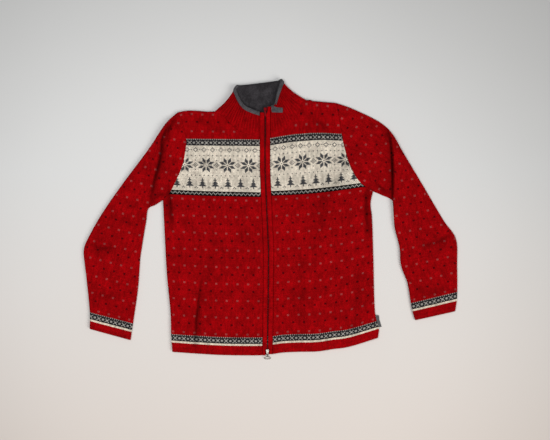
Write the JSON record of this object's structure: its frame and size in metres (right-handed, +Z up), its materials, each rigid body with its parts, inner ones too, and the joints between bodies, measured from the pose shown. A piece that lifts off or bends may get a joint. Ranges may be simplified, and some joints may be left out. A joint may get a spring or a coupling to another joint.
{
  "type": "christmas sweater",
  "caption": "Zip-front knitted cardigan with a stand collar and long sleeves, laid flat with its front side up.",
  "frame": {"origin": "middle of the garment's footprint, at the level of the surface that it lies on", "axes": "+Z up from the surface, +Y from the hem to the collar, -X to the wearer's right sleeve"},
  "size_m": [0.9589, 0.7204, 0.023],
  "materials": {
    "red_knit": "knitted yarn, matt",
    "red_rib": "ribbed knit, matt",
    "grey_knit": "fine knit, matt",
    "zip_tape": "woven tape",
    "zip_coil": "moulded coil",
    "zip_metal": "satin metal",
    "red_lacquer": "painted",
    "label_tape": "woven tape, blank"
  },
  "bodies": {
    "garment": {"back": "red_knit", "front_right": "red_knit", "front_left": "red_knit", "sleeve_right": "red_knit", "sleeve_left": "red_knit", "collar": "red_rib", "collar_facing": "grey_knit", "collar_corner": "grey_knit", "band_right": "red_rib", "band_left": "red_rib", "zip_tape_right": "zip_tape", "zip_tape_left": "zip_tape", "zip_chain": "zip_coil", "slider_bottom": "zip_metal", "slider_top": "red_lacquer", "side_label": "label_tape"},
    "pull_bottom": {"pull_bottom": "zip_metal"},
    "pull_top": {"pull_top": "red_lacquer"}
  },
  "joints": [
    {"name": "pull_bottom_hinge", "type": "hinge", "parent": "garment", "child": "pull_bottom", "pos_m": [-0.00786, -0.3423, 0.0122], "axis": [-1, 0, 0], "range_deg": [0, 200]},
    {"name": "pull_top_hinge", "type": "hinge", "parent": "garment", "child": "pull_top", "pos_m": [-0.01328, 0.2757, 0.0185], "axis": [-1, 0, 0], "range_deg": [0, 175]}
  ]
}
